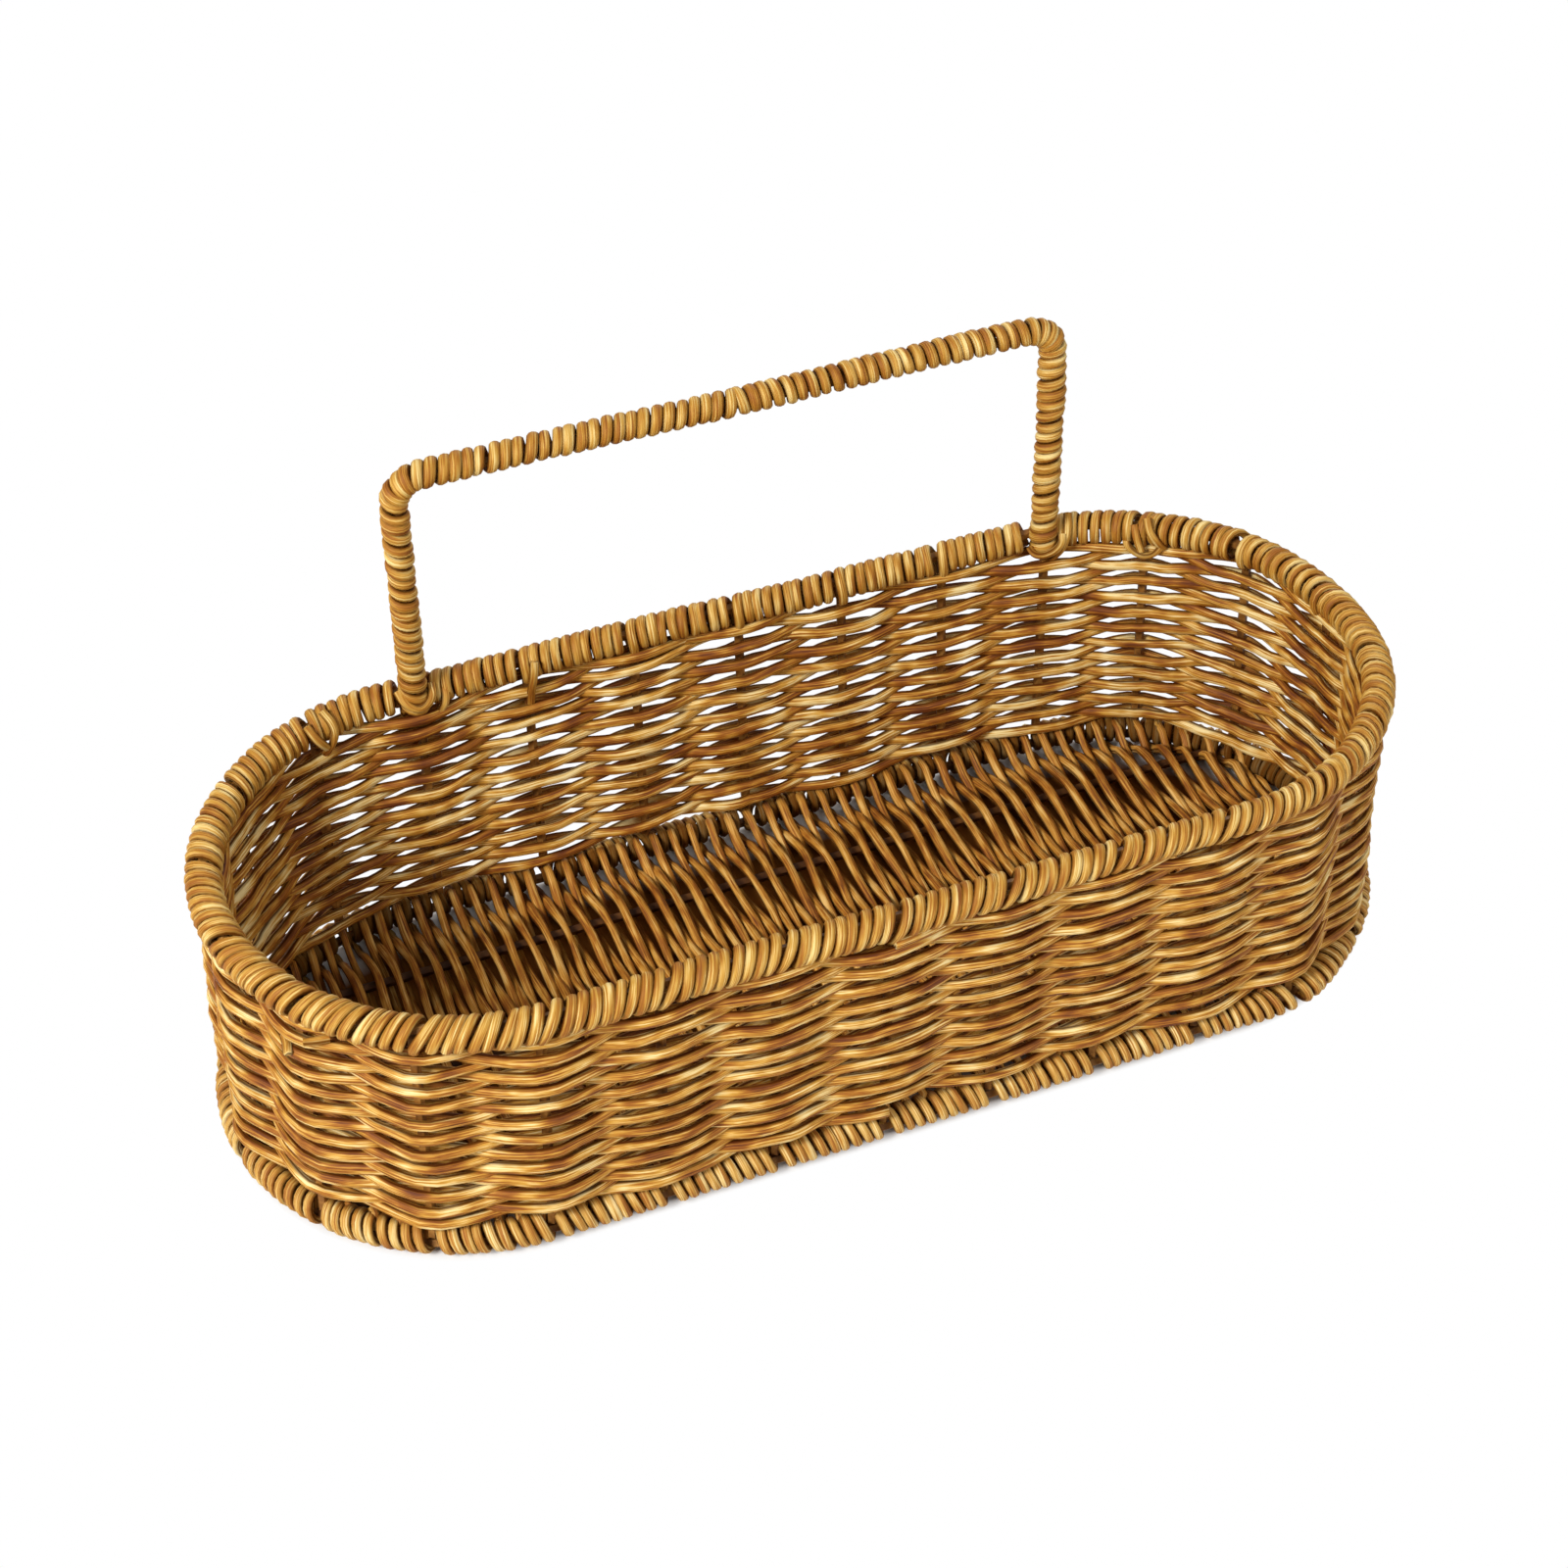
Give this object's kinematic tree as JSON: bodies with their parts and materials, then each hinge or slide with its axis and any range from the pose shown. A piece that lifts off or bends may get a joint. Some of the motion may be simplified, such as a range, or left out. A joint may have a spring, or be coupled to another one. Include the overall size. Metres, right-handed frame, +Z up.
{
  "type": "wicker garlic basket",
  "caption": "Long oval wicker storage basket, cane woven round upright wire stakes, with lapped rims and a fixed rectangular back handle.",
  "frame": {"origin": "on the table under the middle of the basket", "axes": "+X along the basket to its right end, +Y to the back, where the handle is, +Z up"},
  "size_m": [0.3526, 0.1524, 0.1598],
  "materials": {
    "frame_wire": "brown painted iron wire",
    "weaving_cane": "lacquered cane, golden brown",
    "lapping_cane": "lacquered cane, light golden brown"
  },
  "bodies": {
    "root": {"base_rib_1": "frame_wire", "base_rib_2": "frame_wire", "base_rib_3": "frame_wire", "base_weaver": "weaving_cane", "base_wire": "frame_wire", "base_wrap": "lapping_cane", "handle_wire": "frame_wire", "handle_wrap": "lapping_cane", "rim_lashing_left": "lapping_cane", "rim_lashing_right": "lapping_cane", "rim_wire": "frame_wire", "rim_wrap": "lapping_cane", "stake_00": "frame_wire", "stake_01": "frame_wire", "stake_02": "frame_wire", "stake_04": "frame_wire", "stake_05": "frame_wire", "stake_06": "frame_wire", "stake_07": "frame_wire", "stake_08": "frame_wire", "stake_09": "frame_wire", "stake_10": "frame_wire", "stake_11": "frame_wire", "stake_12": "frame_wire", "stake_13": "frame_wire", "stake_14": "frame_wire", "stake_15": "frame_wire", "stake_16": "frame_wire", "stake_17": "frame_wire", "stake_18": "frame_wire", "stake_19": "frame_wire", "stake_20": "frame_wire", "stake_21": "frame_wire", "stake_22": "frame_wire", "stake_24": "frame_wire", "stake_25": "frame_wire", "wall_weaver_1": "weaving_cane", "wall_weaver_2": "weaving_cane"}
  },
  "joints": []
}
